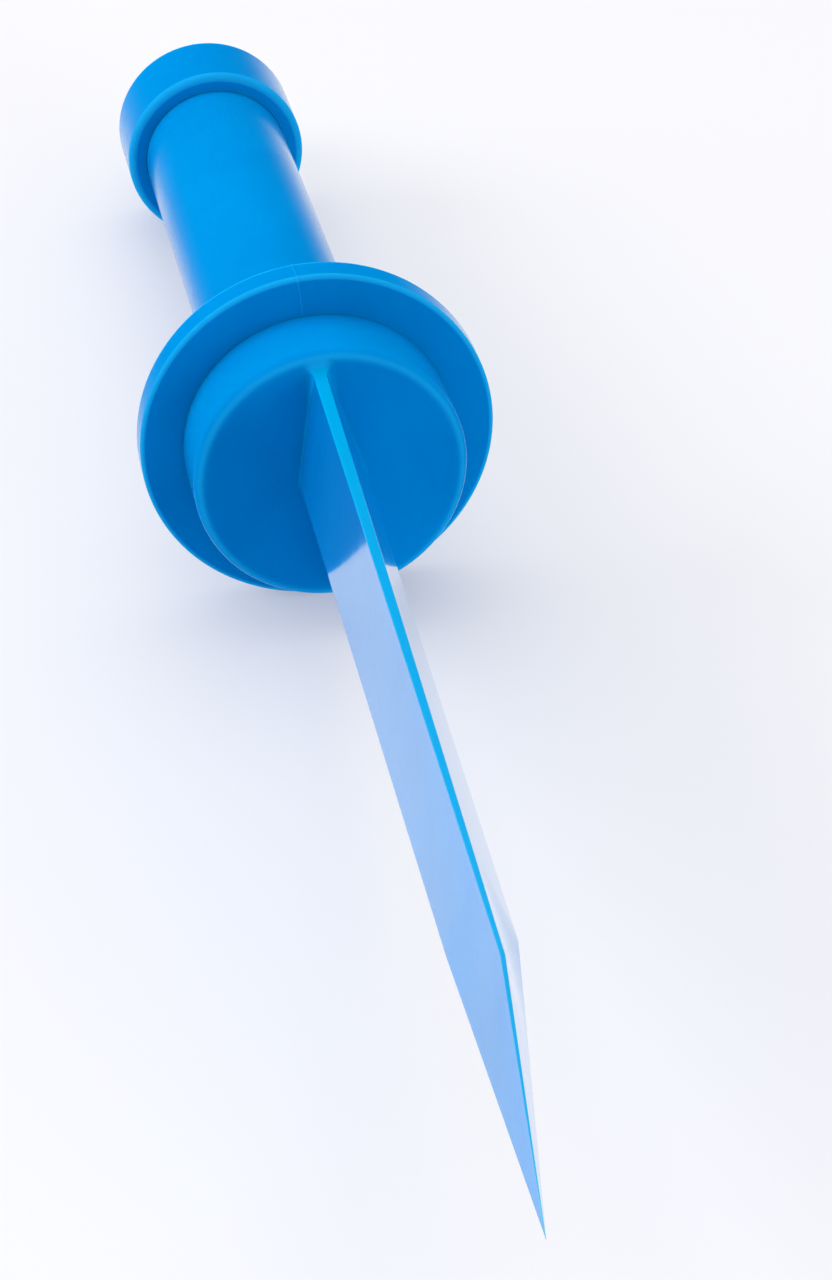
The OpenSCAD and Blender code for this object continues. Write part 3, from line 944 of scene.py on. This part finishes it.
# the camera's place, in metres from the flange and in angles off and round the z axis
CAMERA_DISTANCE = 0.23823
CAMERA_OFF_AXIS = math.radians(29.53)
CAMERA_ROUND = math.radians(-10.81)
CAMERA_AIM = Vector((0.00028, 0.00135, -0.0274))
LENS_MM = 99.74
SENSOR_MM = 36.0
eye = CAMERA_DISTANCE * Vector((
    math.sin(CAMERA_OFF_AXIS) * math.cos(CAMERA_ROUND),
    math.sin(CAMERA_OFF_AXIS) * math.sin(CAMERA_ROUND),
    -math.cos(CAMERA_OFF_AXIS),
))


def looking(place, aim, top):
    """Matrix of an object at place that looks at aim with top upwards."""
    back = (place - aim).normalized()
    right = top.cross(back).normalized()
    upright = back.cross(right)
    m = Matrix((right, upright, back)).transposed().to_4x4()
    m.translation = place
    return m


camera_data = bpy.data.cameras.new("camera")
camera_data.lens = LENS_MM
camera_data.sensor_width = SENSOR_MM
camera = bpy.data.objects.new("camera", camera_data)
bpy.context.scene.collection.objects.link(camera)
camera.matrix_world = looking(eye, CAMERA_AIM, up)
camera_data.clip_start, camera_data.clip_end = 0.01, 20.0
bpy.context.scene.camera = camera

forward = -(eye - up * eye.dot(up)).normalized()
across = forward.cross(up)
middle = Vector((0, 0, -0.01))  # what the lights point at
ground = middle - up * (middle.dot(up) - floor_level)


FLOOR_REACH = 3.0
FLOOR_PARTS = 12


def build_floor():
    bm = bmesh.new()
    steps = [FLOOR_REACH * (2 * k / FLOOR_PARTS - 1) for k in range(FLOOR_PARTS + 1)]
    grid = [[bm.verts.new(ground + across * x + forward * y) for x in steps] for y in steps]
    for j in range(FLOOR_PARTS):
        for i in range(FLOOR_PARTS):
            bm.faces.new((grid[j][i], grid[j][i + 1], grid[j + 1][i + 1], grid[j + 1][i]))
    floor = new_object("studio_floor", bm)
    if floor.data.polygons[0].normal.dot(up) < 0:
        floor.data.flip_normals()
    return floor


def pale_sheet():
    """A pale sheet that gives off a little light of its own, as an overexposed one does."""
    n = material_nodes("studio_floor")
    cloud = n.noise(6, detail=2.0)
    sheet = n.add(
        "ShaderNodeBsdfPrincipled",
        Base_Color=n.ramp(cloud, [(0.3, (0.565, 0.56, 0.572)), (0.7, (0.575, 0.57, 0.582))]),
        Roughness=0.6,
        Specular_IOR_Level=0.1,
        Emission_Color=(0.96, 0.96, 1.0, 1.0),
        Emission_Strength=0.31,
    )
    geometry = n.add("ShaderNodeNewGeometry")
    clear = n.add("ShaderNodeBsdfTransparent")
    # seen from below or from its own level, the floor isn't there to block the view
    gone = n.range(n.along(geometry.outputs["Incoming"], up), 0.15, 0.35, 1.0, 0.0)
    seen_by_camera = n.add("ShaderNodeLightPath").outputs["Is Camera Ray"]
    hidden = n.math("MAXIMUM", n.math("MULTIPLY", gone, seen_by_camera),
                    geometry.outputs["Backfacing"])
    n.link(n.mix(hidden, sheet.outputs["BSDF"], clear.outputs["BSDF"]),
           n.output.inputs["Surface"])
    return n.owner


floor = build_floor()
paint(floor, pale_sheet())

SKY_LOW = 0.25
SKY_HIGH = 1.22
SKY_BEHIND_CAMERA = 0.35
SKY_LEFT = 1.07
SKY_RIGHT = 0.85
SKY_COLOUR = (0.97, 0.98, 1.0, 1.0)
BACKDROP_COLOUR = (0.88, 0.88, 0.92, 1.0)


def soft_sky():
    """Even studio light: bright overhead, dimmer low down, dimmest behind the camera."""
    world = bpy.data.worlds.new("soft_studio")
    bpy.context.scene.world = world
    n = Nodes(world, "ShaderNodeOutputWorld", "Generated")

    def level(direction, low, high, new_low, new_high):
        return n.range(n.along(n.place, direction), low, high, new_low, new_high, "SMOOTHSTEP")

    height = level(up, -0.2, 1.0, SKY_LOW, SKY_HIGH)
    depth = level(forward, -1.0, 0.4, SKY_BEHIND_CAMERA, 1.0)
    sideways = level(across, -0.7, 0.7, SKY_LEFT, SKY_RIGHT)
    strength = n.math("MULTIPLY", n.math("MULTIPLY", height, depth), sideways)
    sky = n.add("ShaderNodeBackground", Color=SKY_COLOUR, Strength=strength)
    backdrop = n.add("ShaderNodeBackground", Color=BACKDROP_COLOUR)
    seen_by_camera = n.add("ShaderNodeLightPath").outputs["Is Camera Ray"]
    n.link(n.mix(seen_by_camera, sky.outputs["Background"], backdrop.outputs["Background"]),
           n.output.inputs["Surface"])


soft_sky()


def softbox(name, direction, distance, size, power):
    data = bpy.data.lights.new(name, "AREA")
    data.shape = "DISK"
    data.size = size
    data.energy = power
    light = bpy.data.objects.new(name, data)
    bpy.context.scene.collection.objects.link(light)
    place = middle + direction.normalized() * distance
    light.matrix_world = looking(place, middle, forward + across * 0.01)


softbox("overhead", up + forward * 0.15, distance=1.0, size=1.4, power=2.9)
softbox("from_left", up * 0.5 - across, distance=0.8, size=0.5, power=2.8)
softbox("from_right", up * 0.4 + across - forward, distance=0.8, size=0.5, power=1.9)

bpy.context.scene.view_settings.view_transform = "Standard"
